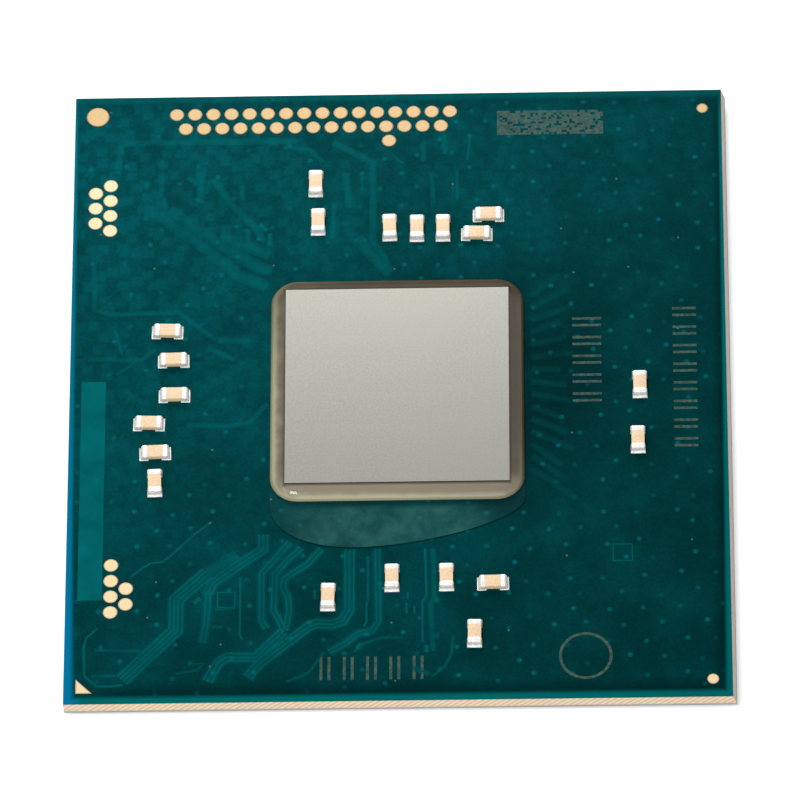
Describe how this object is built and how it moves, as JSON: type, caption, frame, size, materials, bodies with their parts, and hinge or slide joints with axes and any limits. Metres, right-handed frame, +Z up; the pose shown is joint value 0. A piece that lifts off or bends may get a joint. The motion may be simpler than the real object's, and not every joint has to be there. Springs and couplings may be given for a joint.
{
  "type": "flip-chip ball grid array package",
  "caption": "Processor package: thin teal substrate with a bare silicon die in cast underfill, chip capacitors, gold pads on top and solder balls below",
  "frame": {"origin": "middle of the bounding box in plan, on the plane that the solder balls stand on", "axes": "+Z up out of the die's face, +X along the 25 mm side with the pin one triangle at -X -Y, +Y along the 27 mm side"},
  "size_m": [0.0252, 0.027, 0.0014],
  "materials": {
    "laminate": "sawn glass and epoxy laminate, matte tan edge",
    "solder_mask": "dark teal solder mask, smooth with a low sheen",
    "silicon": "ground silicon, pale satin grey",
    "underfill_epoxy": "cured filled epoxy, brown and slightly clear at its thin edges",
    "gold_pad": "immersion gold over copper, satin",
    "solder": "reflowed tin alloy, bright with a soft grain",
    "capacitor_ceramic": "fired ceramic, peach tan, semi-matte",
    "tinned_end": "tin plating, pale satin"
  },
  "bodies": {
    "root": {"substrate": "laminate", "solder_mask_top": "solder_mask", "solder_mask_bottom": "solder_mask", "die": "silicon", "underfill": "underfill_epoxy", "test_pads_top_edge": "gold_pad", "test_pads_upper_left": "gold_pad", "test_pads_lower_left": "gold_pad", "fiducial_large": "gold_pad", "fiducial_upper_right": "gold_pad", "fiducial_lower_right": "gold_pad", "pin_one_mark": "gold_pad", "capacitor_solder_joints": "solder", "solder_balls_corners": "solder", "solder_balls_field_1": "solder", "solder_balls_field_2": "solder", "solder_balls_field_3": "solder", "solder_balls_field_4": "solder", "solder_balls_field_5": "solder", "solder_balls_field_6": "solder", "capacitor_01_body": "capacitor_ceramic", "capacitor_02_body": "capacitor_ceramic", "capacitor_03_body": "capacitor_ceramic", "capacitor_04_body": "capacitor_ceramic", "capacitor_05_body": "capacitor_ceramic", "capacitor_06_body": "capacitor_ceramic", "capacitor_07_body": "capacitor_ceramic", "capacitor_08_body": "capacitor_ceramic", "capacitor_09_body": "capacitor_ceramic", "capacitor_10_body": "capacitor_ceramic", "capacitor_11_body": "capacitor_ceramic", "capacitor_12_body": "capacitor_ceramic", "capacitor_13_body": "capacitor_ceramic", "capacitor_14_body": "capacitor_ceramic", "capacitor_15_body": "capacitor_ceramic", "capacitor_16_body": "capacitor_ceramic", "capacitor_17_body": "capacitor_ceramic", "capacitor_18_body": "capacitor_ceramic", "capacitor_19_body": "capacitor_ceramic", "capacitor_20_body": "capacitor_ceramic", "capacitor_01_ends": "tinned_end", "capacitor_02_ends": "tinned_end", "capacitor_03_ends": "tinned_end", "capacitor_04_ends": "tinned_end", "capacitor_05_ends": "tinned_end", "capacitor_06_ends": "tinned_end", "capacitor_07_ends": "tinned_end", "capacitor_08_ends": "tinned_end", "capacitor_09_ends": "tinned_end", "capacitor_10_ends": "tinned_end", "capacitor_11_ends": "tinned_end", "capacitor_12_ends": "tinned_end", "capacitor_13_ends": "tinned_end", "capacitor_14_ends": "tinned_end", "capacitor_15_ends": "tinned_end", "capacitor_16_ends": "tinned_end", "capacitor_17_ends": "tinned_end", "capacitor_18_ends": "tinned_end", "capacitor_19_ends": "tinned_end", "capacitor_20_ends": "tinned_end"}
  },
  "joints": []
}
